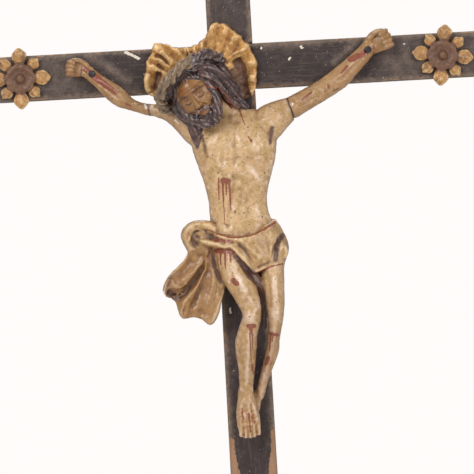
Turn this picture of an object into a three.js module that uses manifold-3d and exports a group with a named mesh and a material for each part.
// A small carved and painted wooden crucifix, made to hang on a wall.
// Two black laths are halved into each other. A gilded shell is fixed where they cross, and a gilded
// rosette on each of the three upper ends. The figure is carved in one with its loincloth, and its two
// arms are separate carvings, butted against stubs at the shoulders and nailed to the beam at the wrists.
// Millimetres. X runs along the beam, Z up the upright, and the front looks towards -Y.
// The origin is on the flat back of the cross, behind the middle of the crossing.
import * as THREE from "three";
import { mergeVertices } from "three/addons/utils/BufferGeometryUtils.js";
import Module from "manifold-3d";

const wasm = await Module();
wasm.setup();

// Driving sizes
const GAP = 0.3; // between two pieces that touch
const BAR_WIDTH = 30; // of both laths where they cross
const BAR_THICKNESS = 12;
const UPRIGHT_TAPER = 1.2; // the upright is this much narrower at its top and wider at its foot
const EDGE_CHAMFER = 1.2; // along the front and back edges of the laths
const FIGURE_HEIGHT = 250; // from the highest fingertip to the toes
const HAND_TO_ROSETTE = 9.5; // clear space on the beam beyond the hands
const ROSETTE_RADIUS = 20.5;
const ROSETTE_HEIGHT = 6.5;
const ROSETTE_PETALS = 8;
const ROSETTE_TO_END = 5; // clear space between a rosette and the end of its lath
const FOOT_ROOM = 62; // of the upright below the toes
const SHELL_DEPTH = 9; // of its rim, off the face of the cross
const SHELL_FLUTES = 27; // in a whole turn
const NAIL_SHANK_RADIUS = 0.9;
const NAIL_HEAD_RADIUS = 2.4;
const NAIL_HEAD_HEIGHT = 1.8;
const NAIL_BITE = 8; // depth of the point in the beam
const ARM_JOINT_OPENING = 1.2; // the left arm's joint has opened by this much

// The figure's forms are written in 250ths of its height
const U = FIGURE_HEIGHT / 250;
// How far the hands and toes reach from the crossing
const HAND_REACH = 109.5 * U;
const TOE_REACH = 247 * U;
const WRIST_NAILS = { right: [-91.9 * U, 0.2 * U], left: [90 * U, 5.8 * U] };

const ARM_REACH = HAND_REACH + HAND_TO_ROSETTE + 2 * ROSETTE_RADIUS + ROSETTE_TO_END;
const FOOT_REACH = TOE_REACH + FOOT_ROOM;

const BLACK = { color: 0x2a2522, roughness: 0.55, metalness: 0 };
const GOLD = { color: 0xb07a2e, roughness: 0.4, metalness: 0.75 };
const FLESH = { color: 0xb89668, roughness: 0.45, metalness: 0 };
const IRON = { color: 0x23262e, roughness: 0.4, metalness: 0.8 };

// Solids and meshes

function solidOf(geometry) {
  const bare = geometry.clone();
  bare.deleteAttribute("normal");
  bare.deleteAttribute("uv");
  const merged = mergeVertices(bare, 1e-4);
  return new wasm.Manifold(
    new wasm.Mesh({
      numProp: 3,
      vertProperties: merged.attributes.position.array,
      triVerts: Uint32Array.from(merged.index.array),
    }),
  );
}

function meshOf(name, solid, finish) {
  const { vertProperties, triVerts } = solid.getMesh();
  const geometry = new THREE.BufferGeometry();
  geometry.setAttribute("position", new THREE.BufferAttribute(vertProperties, 3));
  geometry.setIndex(new THREE.BufferAttribute(triVerts, 1));
  geometry.computeVertexNormals();
  const mesh = new THREE.Mesh(geometry, new THREE.MeshStandardMaterial(finish));
  mesh.name = name;
  return mesh;
}

const union = (solids) => solids.reduce((all, next) => all.add(next));

// A closed skin through rings of equally many points. It is capped at both ends by a fan, unless it
// comes back to its first ring. The points of a ring turn clockwise for somebody who looks the way the
// rings go.
function skin(rings, comesBack = false) {
  const [rows, count] = [rings.length, rings[0].length];
  const middle = (ring) => ring.reduce((sum, p) => sum.add(p), new THREE.Vector3()).divideScalar(count);
  const points = rings.flat();
  if (!comesBack) points.push(middle(rings[0]), middle(rings.at(-1)));
  const [first, last] = [rows * count, rows * count + 1];
  const faces = [];
  for (let side = 0; side < count; side++) {
    const next = (side + 1) % count;
    for (let row = 0; row < (comesBack ? rows : rows - 1); row++) {
      const [here, beyond] = [row * count, ((row + 1) % rows) * count];
      faces.push(here + side, here + next, beyond + next, here + side, beyond + next, beyond + side);
    }
    if (comesBack) continue;
    const end = (rows - 1) * count;
    faces.push(first, next, side, last, end + side, end + next);
  }
  const geometry = new THREE.BufferGeometry().setFromPoints(points);
  geometry.setIndex(faces);
  return solidOf(geometry);
}

// The row of numbers at place t, from 0 to 1, on a smooth line through rows of numbers.
function between(rows, t) {
  const place = Math.min(Math.max(t, 0), 1) * (rows.length - 1);
  const i = Math.min(Math.floor(place), rows.length - 2);
  const f = place - i;
  const row = (n) => rows[Math.min(Math.max(n, 0), rows.length - 1)];
  return row(i).map((b, k) => {
    const [a, c, d] = [row(i - 1)[k], row(i + 1)[k], row(i + 2)[k]];
    return b + 0.5 * f * (c - a + f * (2 * a - 5 * b + 4 * c - d + f * (3 * (b - c) + d - a)));
  });
}

const PICTURE_NORMAL = new THREE.Vector3(0, 1, 0);

// A rounded limb through stations [x, y, z, half width across the picture, half depth], in 250ths.
// Its ends are domes.
function limb(stations, { sides = 8, steps = 1 } = {}) {
  const total = (stations.length - 1) * steps;
  const samples = Array.from({ length: total + 1 }, (_, i) => between(stations, i / total));
  const centres = samples.map(([x, y, z]) => new THREE.Vector3(x, y, z).multiplyScalar(U));
  const ring = (i, shrink, slide) => {
    const along = centres[Math.min(i + 1, total)].clone().sub(centres[Math.max(i - 1, 0)]).normalize();
    const across = new THREE.Vector3().crossVectors(along, PICTURE_NORMAL).normalize();
    const out = new THREE.Vector3().crossVectors(across, along);
    const halfWidth = Math.max(samples[i][3] * U, 0.05);
    const halfDepth = Math.max(samples[i][4] * U, 0.05);
    const centre = centres[i].clone().addScaledVector(along, slide * Math.min(halfWidth, halfDepth));
    return Array.from({ length: sides }, (_, k) => {
      const turn = (2 * Math.PI * k) / sides;
      return centre
        .clone()
        .addScaledVector(across, halfWidth * shrink * Math.cos(turn))
        .addScaledVector(out, -halfDepth * shrink * Math.sin(turn));
    });
  };
  return skin([
    ring(0, 0.5, -0.87),
    ...centres.map((_, i) => ring(i, 1, 0)),
    ring(total, 0.5, 0.87),
  ]);
}

// A relief on a flat back, seen as circles of points about a hub that faces -Y.
// reach(turn) is the outline's distance from the hub and height(turn, share) the relief at a share of it.
function relief({ columns, circles, reach, height, rim }) {
  const circle = (share, heightOf) =>
    Array.from({ length: columns }, (_, k) => {
      const turn = (2 * Math.PI * k) / columns;
      const radius = reach(turn) * share;
      return new THREE.Vector3(radius * Math.cos(turn), -heightOf(turn), radius * Math.sin(turn));
    });
  const fronts = Array.from({ length: circles }, (_, i) => {
    const share = Math.max(i / (circles - 1), 0.06);
    return circle(share, (turn) => height(turn, share));
  });
  return skin([...fronts, circle(1, () => rim), circle(0.94, () => 0)].reverse());
}

const bump = (value, centre, spread) => Math.exp(-(((value - centre) / spread) ** 2));

// The cross

function lath(outline, cut) {
  const shape = new THREE.Shape(outline.map(([x, z]) => new THREE.Vector2(x, z)));
  const bar = new THREE.ExtrudeGeometry(shape, {
    depth: BAR_THICKNESS - 2 * EDGE_CHAMFER,
    bevelThickness: EDGE_CHAMFER,
    bevelSize: EDGE_CHAMFER,
    bevelOffset: -EDGE_CHAMFER,
    bevelSegments: 1,
  });
  bar.translate(0, 0, EDGE_CHAMFER).rotateX(Math.PI / 2);
  return solidOf(bar).subtract(solidOf(cut));
}

// Half the upright's width at a height, on its slow taper.
function uprightHalfWidth(z) {
  const share = (z + FOOT_REACH) / (ARM_REACH + FOOT_REACH);
  return BAR_WIDTH / 2 + UPRIGHT_TAPER * (0.5 - share);
}

// Each lath gives up half of its thickness where the other passes, and the beam passes in front.
function crossing(halfWidthX, halfWidthZ, front) {
  const halfThickness = BAR_THICKNESS / 2;
  const cut = new THREE.BoxGeometry(2 * halfWidthX, BAR_THICKNESS, 2 * halfWidthZ);
  const middle = front ? -halfThickness - BAR_THICKNESS / 2 : -halfThickness + BAR_THICKNESS / 2;
  return cut.translate(0, middle + (front ? GAP / 2 : -GAP / 2), 0);
}

function upright() {
  const [top, foot] = [uprightHalfWidth(ARM_REACH), uprightHalfWidth(-FOOT_REACH)];
  const outline = [
    [-foot, -FOOT_REACH],
    [foot, -FOOT_REACH],
    [top, ARM_REACH],
    [-top, ARM_REACH],
  ];
  return lath(outline, crossing(BAR_WIDTH, BAR_WIDTH / 2 + GAP, true));
}

function beam() {
  const half = BAR_WIDTH / 2;
  const outline = [
    [-ARM_REACH, -half],
    [ARM_REACH, -half],
    [ARM_REACH, half],
    [-ARM_REACH, half],
  ];
  const widest = uprightHalfWidth(-half) + GAP;
  return lath(outline, crossing(widest, BAR_WIDTH, false));
}

// The gilded ornaments

function rosette() {
  const petalTurn = (2 * Math.PI) / ROSETTE_PETALS;
  // 1 on a petal's midrib and 0 between two petals
  const midrib = (turn) => Math.abs(Math.cos((turn * Math.PI) / petalTurn));
  const isLarge = (turn) => Math.round(turn / petalTurn) % 2 === 0;
  return relief({
    columns: ROSETTE_PETALS * 4,
    circles: 4,
    rim: 0.22 * ROSETTE_HEIGHT,
    reach: (turn) => ROSETTE_RADIUS * (0.55 + ((isLarge(turn) ? 0.45 : 0.33) * midrib(turn) ** 1.4)),
    height: (turn, share) => {
      const boss = 0.75 * bump(share, 0, 0.2);
      const petal = 0.4 * bump(share, 0.72, 0.3) * midrib(turn);
      return ROSETTE_HEIGHT * (0.25 + boss + petal);
    },
  });
}

// The shell's outline about its hub, [turn in degrees, reach in 250ths]. It leans with the head and dips
// between its left scroll and its fan.
const SHELL_HUB = [-18.5, -17.5];
const SHELL_OUTLINE = [
  [-110, 11],
  [-40, 14],
  [-8, 29],
  [3, 34],
  [20, 37.5],
  [45, 45],
  [66, 49.2],
  [82, 49.5],
  [88, 41],
  [98, 34.5],
  [109, 34],
  [118, 38],
  [126, 47.3],
  [136, 48.5],
  [148, 46],
  [165, 41.7],
  [176, 36],
  [187, 18],
  [250, 11],
];

// The value at a place, by a smooth step from one row [place, value] of a table to the next.
function alongTable(table, place) {
  const within = Math.min(Math.max(place, table[0][0]), table.at(-1)[0]);
  const above = Math.max(1, table.findIndex(([rowPlace]) => rowPlace >= within));
  const [[a, from], [b, to]] = [table[above - 1], table[above]];
  const f = (within - a) / (b - a);
  return from + (to - from) * f * f * (3 - 2 * f);
}

function shell() {
  const degrees = (turn) => {
    const value = (turn * 180) / Math.PI;
    return value > 250 ? value - 360 : value;
  };
  const flute = (turn) => Math.abs(Math.cos((turn * SHELL_FLUTES) / 2));
  const upper = (turn) => bump(degrees(turn), 86, 95);
  return relief({
    columns: SHELL_FLUTES * 2,
    circles: 4,
    rim: 0.35 * SHELL_DEPTH,
    reach: (turn) => {
      const notch = 0.05 * upper(turn) * (1 - flute(turn));
      return U * alongTable(SHELL_OUTLINE, degrees(turn)) * (1 - notch);
    },
    height: (turn, share) =>
      SHELL_DEPTH * (0.3 + upper(turn) * (0.4 * share ** 2 + 0.3 * share * flute(turn))),
  });
}

// The figure. Stations are [x, y, z, half width, half depth] in 250ths of the height, y counted from
// the face of the cross, towards the viewer as negative.

const TORSO = [
  [5.0, -13.5, -134, 20.5, 12.0],
  [4.6, -13.5, -124, 23.4, 13.0],
  [3.2, -13.3, -113, 22.6, 12.6],
  [0.2, -13.0, -100, 19.8, 11.2],
  [-0.8, -13.8, -88, 19.2, 11.2],
  [-0.5, -15.0, -76, 21.6, 13.2],
  [-0.4, -15.6, -66, 24.6, 14.6],
  [-0.8, -15.6, -55, 27.4, 15.2],
  [-1.2, -15.0, -46, 28.0, 14.2],
  [-1.0, -14.2, -39, 27.0, 12.0],
  [-1.0, -13.8, -33, 22.0, 9.2],
  [-1.0, -14.0, -29, 14.0, 7.0],
];

// Relief of the chest and belly, towards the viewer.
function bodyRelief(x, z) {
  const chest = 1.6 * bump(z, -50, 9) * (bump(x, -13, 9) + bump(x, 11, 9));
  const breastbone = -1.2 * bump(x, -1, 2.6) * bump(z, -54, 14);
  const arch = -68 - 0.55 * Math.abs(x + 0.5);
  const ribs = 1.5 * bump(z, arch, 4) * bump(x, -0.5, 17);
  const hollow = -1.6 * bump(x, -0.5, 10) * bump(z, -84, 9);
  const midline = -0.8 * bump(x, -2.5, 2.2) * bump(z, -92, 16);
  return chest + breastbone + ribs + hollow + midline;
}

function torso() {
  const sides = 18;
  return skin(
    TORSO.map(([cx, cy, z, halfWidth, halfDepth]) => {
      return Array.from({ length: sides }, (_, k) => {
        const turn = (2 * Math.PI * k) / sides;
        const [c, s] = [Math.cos(turn), Math.sin(turn)];
        const x = cx + halfWidth * Math.sign(c) * Math.abs(c) ** 0.85;
        const front = Math.max(-s, 0);
        const y = cy + halfDepth * s - bodyRelief(x, z) * Math.min(1, 1.6 * front);
        return new THREE.Vector3(x, y, z).multiplyScalar(U);
      });
    }),
  );
}

const RIGHT_LEG = [
  [-4.5, -13, -114, 9.5, 10],
  [-7.0, -17, -126, 9.6, 10.5],
  [-5.6, -21, -137, 8.3, 9.6],
  [-1.8, -25.5, -148, 7.7, 8.8],
  [2.4, -28.5, -157.5, 6.9, 7.8],
  [3.6, -29.5, -165.5, 6.8, 7.2],
  [1.2, -28, -173, 6.6, 6.6],
  [-0.6, -24.5, -181, 7.2, 7.4],
  [-0.9, -20.5, -191, 6.4, 6.8],
  [-1.2, -17.5, -202, 5.2, 5.6],
  [-2.2, -15.6, -211, 4.7, 5.4],
];
const RIGHT_FOOT = [
  [-2.4, -12.5, -210.5, 4.6, 6.0],
  [-2.4, -13.6, -219, 6.0, 6.6],
  [-2.1, -15.2, -228, 7.6, 5.4],
  [-1.6, -15.8, -235, 7.8, 3.8],
  [-1.3, -15.8, -240, 7.0, 2.8],
];
const LEFT_LEG = [
  [15, -13, -114, 10, 10.5],
  [19.0, -15.5, -125, 9.0, 11],
  [19.8, -18, -135, 7.8, 9.6],
  [19.5, -20.5, -146, 7.1, 8.6],
  [19.3, -22, -156, 6.7, 8.0],
  [19.0, -22.5, -165, 6.0, 7.0],
  [18.3, -21.5, -172.5, 5.0, 6.2],
  [17.3, -18, -180, 4.4, 5.6],
  [15.6, -14.5, -188, 4.5, 5.4],
  [12.6, -11.5, -198, 3.7, 4.8],
  [9.2, -9.0, -208, 3.1, 4.2],
  [6.6, -7.2, -217, 3.2, 4.0],
];
const LEFT_FOOT = [
  [5.4, -6.0, -216, 3.4, 4.4],
  [2.4, -5.6, -224, 4.2, 4.6],
  [0.8, -6.2, -231, 4.4, 4.2],
  [0.6, -6.8, -237, 3.6, 3.2],
];
const RIGHT_ARM = [
  [-16, -14, -47, 11, 11],
  [-25, -14.5, -40, 11, 11],
  [-34, -14.2, -33.4, 8.2, 9],
  [-43, -13, -28.6, 5.4, 7],
  [-51, -11.8, -26.4, 4.2, 5.6],
  [-58, -10.6, -25, 3.7, 4.9],
  [-66, -9.6, -22, 3.7, 4.8],
  [-72, -8.8, -18.4, 5.4, 5.2],
  [-76.5, -7.8, -14.6, 6.0, 5.2],
  [-82, -6.8, -9.8, 5.4, 4.8],
  [-87, -5.9, -5.4, 4.6, 4.2],
  [-92.4, -5, -0.4, 4.2, 3.8],
  [-97, -4.4, 3.6, 4.2, 3.4],
];
const LEFT_ARM = [
  [15, -14, -46, 11, 11],
  [23, -14.5, -38, 11.5, 11],
  [31, -14.2, -33, 9.4, 9.4],
  [38.2, -13.2, -29.4, 7.3, 8],
  [49, -11.8, -24, 6.9, 7],
  [60, -10, -18.2, 6.8, 6.2],
  [69.8, -8.4, -12, 7.1, 5.8],
  [79.2, -7, -4, 6.1, 5.2],
  [87, -5.8, 3.2, 5.4, 4.4],
  [92, -5, 8.5, 5.0, 3.8],
];
const NECK = [
  [0, -14, -37, 10, 8],
  [-3.5, -16.5, -30, 7.6, 7.2],
  [-10, -21, -25.5, 7.0, 7.0],
  [-18, -26, -20, 8, 8],
];

// A half-closed hand, palm to the front. It is built along its own line: u to the fingertips, v to the
// thumb's side and w towards the viewer, from the wrist at [x, y, z].
function hand([x, y, z], degrees, size, thumbSide) {
  const angle = (degrees * Math.PI) / 180;
  const place = ([u, v, w, halfWidth, halfDepth]) => [
    x + size * (u * Math.cos(angle) - thumbSide * v * Math.sin(angle)),
    y - size * w,
    z + size * (u * Math.sin(angle) + thumbSide * v * Math.cos(angle)),
    size * halfWidth,
    size * halfDepth,
  ];
  const palm = [
    [-3, 0, 0, 3.3, 3],
    [2, 0.2, 0, 4.8, 2.8],
    [7, 0, 0.4, 5.4, 2.5],
    [10, 0, 1, 4.9, 2.2],
  ];
  const thumb = [
    [0, 3.4, 1, 1.9, 1.9],
    [5, 6, 2.4, 1.8, 1.8],
    [10, 6, 4, 1.5, 1.5],
    [13, 4.6, 4.8, 1.1, 1.1],
  ];
  // [place across the palm, share of the longest finger, share of the deepest curl]
  const fingers = [
    [-4.2, 0.84, 0.96],
    [-1.5, 0.95, 0.88],
    [1.3, 1, 0.93],
    [4.1, 0.93, 1],
  ].map(([v, length, curl]) => [
    [8.5, v, 1.2, 1.6, 1.6],
    [8.5 + 4.7 * length, 1.08 * v, 3.2 * curl, 1.55, 1.6],
    [8.5 + 4.4 * length, 1.04 * v, 6.2 * curl, 1.45, 1.5],
    [8.5 + 0.9 * length, 0.97 * v, 7.2 * curl, 1.2, 1.2],
  ]);
  return union([
    limb(palm.map(place), { sides: 8 }),
    limb(thumb.map(place), { sides: 6 }),
    ...fingers.map((finger) => limb(finger.map(place), { sides: 6 })),
  ]);
}

// The head is built upright about its own middle, with its face towards -Y, then put at its place with
// these directions for its crown and its face.
const HEAD = { middle: [-24, -30, -17], up: [-0.55, -0.26, 0.79], face: [-0.08, -0.945, -0.36] };
const SKULL = { halfWidth: 13, halfDepth: 15, halfHeight: 17.5 };
// The crown of thorns lies tipped back on the head. along is the direction of its longer axis.
const THORNS = { middle: [-27.3, -31.5, -9.7], along: [0.8, 0, 0.6], up: [-0.52, 0.5, 0.69] };
const THORN_RING = { halfLength: 23.8, halfDepth: 20.5, thickness: 2.7, strands: 3, twists: 9 };

// The matrix that stands a piece at a place, its own +Z along up and its -Y as near face as can be.
function placing(middle, up, face) {
  const upward = new THREE.Vector3(...up).normalize();
  const across = new THREE.Vector3(...face).negate().cross(upward).normalize();
  const back = new THREE.Vector3().crossVectors(upward, across);
  return new THREE.Matrix4()
    .makeBasis(across, back, upward)
    .setPosition(new THREE.Vector3(...middle).multiplyScalar(U)).elements;
}

function ellipsoid([x, y, z], [rx, ry, rz], around, down) {
  const ball = new THREE.SphereGeometry(1, around, down).rotateX(Math.PI / 2);
  return solidOf(ball.scale(rx * U, ry * U, rz * U).translate(x * U, y * U, z * U));
}

// A crown of twisted stems: a ring whose section has one lobe a strand, turning as it goes round.
function thorns() {
  const [around, sides] = [36, 6];
  const { halfLength, halfDepth, thickness, strands, twists } = THORN_RING;
  const ring = (i) => {
    const turn = (2 * Math.PI * i) / around;
    const outward = new THREE.Vector3(Math.cos(turn), Math.sin(turn), 0);
    const centre = new THREE.Vector3(halfLength * outward.x, halfDepth * outward.y, 0);
    return Array.from({ length: sides }, (_, k) => {
      const side = (2 * Math.PI * k) / sides;
      const lobe = thickness * (1 + 0.24 * Math.cos(strands * side + twists * turn));
      const point = centre.clone().addScaledVector(outward, lobe * Math.cos(side));
      return point.setZ(-lobe * Math.sin(side)).multiplyScalar(U);
    });
  };
  const whole = skin(
    Array.from({ length: around }, (_, i) => ring(i)),
    true,
  );
  const { middle, along, up } = THORNS;
  const face = new THREE.Vector3(...along).cross(new THREE.Vector3(...up));
  return whole.transform(placing(middle, up, face.toArray()));
}

// One side of the beard: from the temple down the jaw to a point beside the middle.
const beardSide = (side) => [
  [side * 11.5, -6.5, 3, 2.4, 3],
  [side * 11.4, -7.5, -5, 2.8, 3.4],
  [side * 8.6, -9.5, -12, 3.8, 4],
  [side * 4.2, -11, -17, 4.6, 4.4],
  [side * 2.2, -11, -20.5, 2.6, 2.8],
];

function head() {
  const { halfWidth, halfDepth, halfHeight } = SKULL;
  const skull = ellipsoid([0, 0, 0], [halfWidth, halfDepth, halfHeight], 14, 8);
  const jaw = ellipsoid([0, -4, -9], [9, 9.5, 9], 10, 6);
  const nose = limb([
    [0, -14, 4, 1.4, 1.4],
    [0, -16, -1, 1.7, 1.9],
    [0, -17, -4, 2.3, 1.9],
  ]);
  const brow = limb(
    [
      [-9, -9.6, 5, 1.6, 1.6],
      [-4, -13.4, 5.4, 1.6, 1.6],
      [4, -13.4, 5.4, 1.6, 1.6],
      [9, -9.6, 5, 1.6, 1.6],
    ],
    { sides: 6 },
  );
  const hair = ellipsoid([0, 2.5, 1.5], [halfWidth + 4, halfDepth + 1.5, halfHeight + 1], 14, 8);
  const faceOpening = new THREE.BoxGeometry(60 * U, 40 * U, 60 * U);
  faceOpening.translate(0, -30 * U, -22 * U).rotateX((-24 * Math.PI) / 180);
  const parts = [skull, jaw, nose, brow, ...[-1, 1].map((side) => limb(beardSide(side), { sides: 6 }))];
  const upright = union([...parts, hair.subtract(solidOf(faceOpening))]);
  return upright.transform(placing(HEAD.middle, HEAD.up, HEAD.face));
}

// Locks of hair that fall from the head onto the shoulders and the chest.
const LOCKS = [
  [
    [-37, -26, -20, 6, 6],
    [-32, -27, -29, 6, 5.6],
    [-26.4, -25.5, -36, 5, 4.6],
    [-25.5, -24, -43, 4.2, 3.6],
    [-25, -23, -49, 2.9, 3],
    [-24.6, -22, -53, 1.3, 2],
  ],
  [
    [-16, -22, 2, 7, 8],
    [-7, -22, -2, 8, 8],
    [-3.5, -21, -10, 7.6, 7],
    [0.5, -19.5, -17, 5.2, 6],
    [3.2, -18, -24, 4.2, 5],
    [6.6, -16.5, -28.5, 3.4, 4],
  ],
];

// The loincloth: a wrap round the hips, a loop of cloth at the right hip and a tail of fanned folds.
// The wrap's upper and lower edges are [turn in degrees, z], from the figure's left side round the front.
const WRAP_TOP = [
  [-1, -107],
  [40, -112.5],
  [80, -119.5],
  [110, -119.5],
  [150, -114.5],
  [181, -112],
];
const WRAP_HEM = [
  [-1, -126],
  [25, -130],
  [62, -137.5],
  [95, -130],
  [125, -122],
  [181, -124],
];

function wrap() {
  const sides = 22;
  const edge = (table, turn) => {
    const degrees = (turn * 180) / Math.PI;
    return alongTable(table, degrees > 180 ? 360 - degrees : degrees);
  };
  const circle = (share, swell) =>
    Array.from({ length: sides }, (_, k) => {
      const turn = (2 * Math.PI * k) / sides;
      const z = edge(WRAP_TOP, turn) + share * (edge(WRAP_HEM, turn) - edge(WRAP_TOP, turn));
      const [cx, cy, , halfWidth, halfDepth] = between(TORSO, (z + 134) / 105 / 1.02);
      const fold = 0.7 * Math.sin(9 * turn + 5 * share);
      const size = swell > 0 ? 1 + (swell + fold) / 22 : 0.6;
      return new THREE.Vector3(
        cx + (halfWidth + 1.2) * size * Math.cos(turn),
        cy - (halfDepth + 2) * size * Math.sin(turn),
        z,
      ).multiplyScalar(U);
    });
  const hang = [circle(0, 1.2), circle(0.33, 1.4), circle(0.66, 1.8), circle(1, 0.6)];
  return skin([circle(0, 0), ...hang, circle(1, 0)]);
}

const KNOT = [-24.1, -118.3];
// The tail's outline about the knot, [turn in degrees, reach], and its folds, [fold place, height].
const TAIL_OUTLINE = [
  [200, 12],
  [212, 23],
  [222, 41],
  [227, 43],
  [236, 41],
  [246, 48.5],
  [254, 47.5],
  [262, 47.5],
  [271, 53],
  [280, 42],
  [290, 31],
  [302, 24],
  [314, 15],
];
const TAIL_FOLDS = [
  [190, 0.5],
  [222, 4],
  [238, 5.5],
  [251, 7],
  [256, 1.4],
  [263, 1.2],
  [270, 6.5],
  [277, 1.8],
  [290, 3.6],
  [330, 6],
];
const TAIL_BACK = -13;

function tail() {
  const [columns, circles] = [24, 5];
  const [start, end] = [TAIL_OUTLINE[0][0], TAIL_OUTLINE.at(-1)[0]];
  const point = (i, share, lift) => {
    const turn = start + ((end - start) * i) / columns;
    const radius = alongTable(TAIL_OUTLINE, turn) * share;
    const fold = Math.min(turn + 0.95 * (Math.min(radius, 36) - 12), 329);
    const height = 2.2 + (0.35 + 0.65 * share) * alongTable(TAIL_FOLDS, Math.max(fold, 191));
    const angle = (turn * Math.PI) / 180;
    return new THREE.Vector3(
      KNOT[0] + radius * Math.cos(angle),
      TAIL_BACK - (lift ? height : 0),
      KNOT[1] + radius * Math.sin(angle),
    ).multiplyScalar(U);
  };
  // Each ring runs over the front from one side to the other and back behind, at one share of the reach
  const ring = (share) => [
    ...Array.from({ length: columns + 1 }, (_, i) => point(i, share, true)),
    ...Array.from({ length: columns + 1 }, (_, i) => point(columns - i, share, false)),
  ];
  return skin(Array.from({ length: circles }, (_, i) => ring(1 - (0.92 * i) / (circles - 1))));
}

const LOOP = [
  [-19, -19, -108, 4, 5],
  [-24, -19, -103, 3.4, 5],
  [-31, -18.5, -103, 3.2, 5],
  [-36, -18.5, -108, 3.0, 4.8],
  [-34.5, -18.5, -114, 3.2, 4.6],
  [-28, -19, -118, 4.2, 5],
  [-21, -20, -119, 4, 5],
];
// The floor of the loop's hollow
const LOOP_HOLLOW = [
  [-31, -14.5, -108, 5, 3],
  [-22, -14.5, -112, 7, 3],
];

// What lies next to a joint on one side of its plane, and half of its opening beyond it. The plane
// leans with the arm it cuts.
function beyondJoint(x, z, degrees, outwards, opening) {
  const size = 60 * U;
  const block = new THREE.BoxGeometry(size, size, size);
  block.translate((outwards * (size - opening)) / 2, 0, 0);
  block.rotateY((-degrees * Math.PI) / 180);
  return solidOf(block.translate(x, 0, z));
}

const JOINTS = {
  right: (outwards, opening) => beyondJoint(-55.4 * U, -25.6 * U, 12, outwards, opening),
  left: (outwards, opening) => beyondJoint(37 * U, -29.6 * U, 16, outwards, opening),
};

// Only what stands clear of the cross's face.
function trimBack(solid) {
  const size = 700 * U;
  const block = new THREE.BoxGeometry(size, size, size);
  return solid.subtract(solidOf(block.translate(0, size / 2, 0)));
}

function corpus() {
  const body = union([
    torso(),
    limb(NECK),
    limb(RIGHT_ARM.slice(0, 6)),
    limb(LEFT_ARM.slice(0, 5)),
    limb(RIGHT_LEG, { sides: 10 }),
    limb(LEFT_LEG, { sides: 10 }),
    limb(RIGHT_FOOT, { sides: 10 }),
    limb(LEFT_FOOT),
    head(),
    thorns(),
    ...LOCKS.map((lock) => limb(lock, { sides: 7 })),
    wrap(),
    tail(),
    limb(LOOP),
    limb(LOOP_HOLLOW),
  ]);
  const toes = union(
    Array.from({ length: 5 }, (_, i) => {
      const x = 4.6 - 2.9 * i;
      const drop = [-243.6, -244.6, -244.8, -244.2, -243.2][4 - i];
      return limb(
        [
          [x - 0.3, -16, -236, 1.6, 2],
          [x, -16, drop + 1.8, 1.6, 1.9],
        ],
        { sides: 6 },
      );
    }),
  );
  const cut = body.add(toes).subtract(JOINTS.right(-1, GAP)).subtract(JOINTS.left(1, ARM_JOINT_OPENING));
  return trimBack(cut);
}

function arm(side, stations, handSolid, joint) {
  const radius = NAIL_SHANK_RADIUS + GAP;
  const bore = new THREE.CylinderGeometry(radius, radius, 60 * U, 12);
  const [x, z] = WRIST_NAILS[side];
  const whole = limb(stations).add(handSolid).subtract(joint);
  return trimBack(whole.subtract(solidOf(bore.translate(x, 0, z))));
}

// The face of a wrist, where the nail's head sits
const WRIST_FACE = { right: -8.95 * U, left: -9.75 * U };

// A nail with a low domed head: its profile is turned about the shank.
function nail(side) {
  const length = NAIL_BITE - WRIST_FACE[side];
  const profile = [
    [0, -length],
    [NAIL_SHANK_RADIUS, -length + 2],
    [NAIL_SHANK_RADIUS, GAP],
    [NAIL_HEAD_RADIUS, GAP],
    [0.8 * NAIL_HEAD_RADIUS, 0.7 * NAIL_HEAD_HEIGHT],
    [0, NAIL_HEAD_HEIGHT],
  ].map(([r, y]) => new THREE.Vector2(r, y));
  const turned = new THREE.LatheGeometry(profile, 12).rotateX(Math.PI);
  return solidOf(turned.translate(0, WRIST_FACE[side], 0));
}

// The whole, in front of and on the cross

const crucifix = new THREE.Group();
const front = new THREE.Group(); // its origin is on the cross's face
front.position.y = -BAR_THICKNESS - GAP;
crucifix.add(front);

const nailHoles = Object.values(WRIST_NAILS).map(([x, z]) => {
  const radius = NAIL_SHANK_RADIUS + GAP;
  const hole = new THREE.CylinderGeometry(radius, radius, 2 * NAIL_BITE + 1, 12);
  return solidOf(hole.translate(x, -BAR_THICKNESS, z));
});
crucifix.add(meshOf("upright", upright(), BLACK));
crucifix.add(meshOf("beam", nailHoles.reduce((bar, hole) => bar.subtract(hole), beam()), BLACK));

const rosetteReach = ARM_REACH - ROSETTE_TO_END - ROSETTE_RADIUS;
const rosettePlaces = {
  rosette_right: [-rosetteReach, 0],
  rosette_left: [rosetteReach, 0],
  rosette_top: [0, rosetteReach],
};
for (const [name, [x, z]] of Object.entries(rosettePlaces)) {
  const mesh = meshOf(name, rosette(), GOLD);
  mesh.position.set(x, 0, z);
  front.add(mesh);
}

const gildedShell = meshOf("shell", shell(), GOLD);
gildedShell.position.set(SHELL_HUB[0] * U, 0, SHELL_HUB[1] * U);
front.add(gildedShell);

front.add(meshOf("corpus", corpus(), FLESH));
const rightHand = hand([-95.5, -4.2, 2.8], 170, 0.92, -1);
const leftHand = hand([91, -4.4, 7], 25, 1.12, 1);
front.add(meshOf("arm_right", arm("right", RIGHT_ARM.slice(3), rightHand, JOINTS.right(1, GAP)), FLESH));
front.add(meshOf("arm_left", arm("left", LEFT_ARM.slice(2), leftHand, JOINTS.left(-1, GAP)), FLESH));

for (const side of ["right", "left"]) {
  const mesh = meshOf(`nail_${side}`, nail(side), IRON);
  mesh.position.set(WRIST_NAILS[side][0], 0, WRIST_NAILS[side][1]);
  front.add(mesh);
}

export default crucifix;
